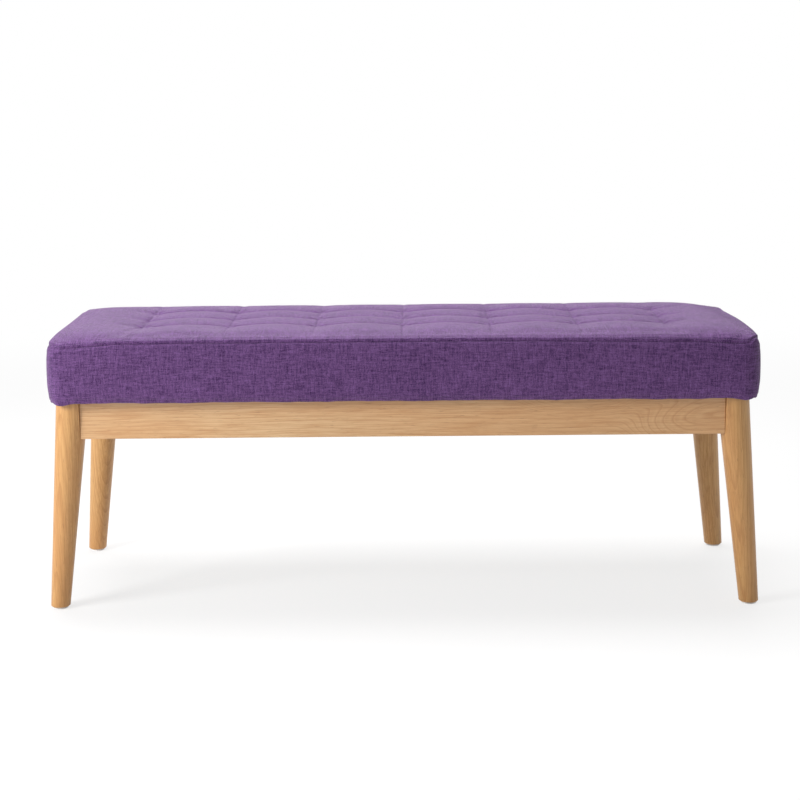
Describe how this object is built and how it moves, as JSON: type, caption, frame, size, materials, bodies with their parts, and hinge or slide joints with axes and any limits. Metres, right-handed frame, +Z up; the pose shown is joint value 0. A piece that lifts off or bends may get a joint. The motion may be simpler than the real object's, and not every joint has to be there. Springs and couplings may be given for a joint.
{
  "type": "upholstered bench",
  "caption": "Long low bench with splayed round wooden legs, a wooden rail frame and a deep fabric seat cushion tufted in a grid.",
  "frame": {"origin": "middle of the bench on the floor, centre of its bounding box in X and Y, at the underside of the foot glides", "axes": "+X to the right along the bench's length, +Y towards its back, +Z up"},
  "size_m": [1.1838, 0.4, 0.463],
  "materials": {
    "frame_wood": "clear satin lacquer on pale straight-grained hardwood",
    "inner_wood": "bare planed wood",
    "dowel_wood": "bare turned beech",
    "plywood": "bare plywood",
    "cover_fabric": "purple slubbed linen-look weave",
    "foam": "open-cell upholstery foam",
    "batting": "polyester fibre batting",
    "black_lining": "black nonwoven lining",
    "twine": "waxed twine",
    "zinc_steel": "bright zinc plating",
    "glide_nylon": "white nylon"
  },
  "bodies": {
    "root": {"leg_front_left": "frame_wood", "foot_glide_front_left": "glide_nylon", "corner_block_front_left": "inner_wood", "leg_front_right": "frame_wood", "foot_glide_front_right": "glide_nylon", "corner_block_front_right": "inner_wood", "leg_rear_left": "frame_wood", "foot_glide_rear_left": "glide_nylon", "corner_block_rear_left": "inner_wood", "leg_rear_right": "frame_wood", "foot_glide_rear_right": "glide_nylon", "corner_block_rear_right": "inner_wood", "glide_nails": "zinc_steel", "corner_block_screws": "zinc_steel", "hanger_bolts": "zinc_steel", "hanger_bolt_washers": "zinc_steel", "hanger_bolt_nuts": "zinc_steel", "rear_rail": "frame_wood", "front_rail": "frame_wood", "right_end_rail": "frame_wood", "left_end_rail": "frame_wood", "rail_dowels": "dowel_wood", "cross_slat_1": "inner_wood", "cross_slat_2": "inner_wood", "cross_slat_3": "inner_wood", "slat_dowels": "dowel_wood", "seat_board": "plywood", "foam_block": "foam", "batting_wrap": "batting", "cover_top_panel": "cover_fabric", "cover_boxing": "cover_fabric", "dust_cover": "black_lining", "hem_staples": "zinc_steel", "dust_cover_staples": "zinc_steel", "seat_bolts": "zinc_steel", "seat_bolt_washers": "zinc_steel", "seat_t_nuts": "zinc_steel", "tufting_twine": "twine"}
  },
  "joints": []
}
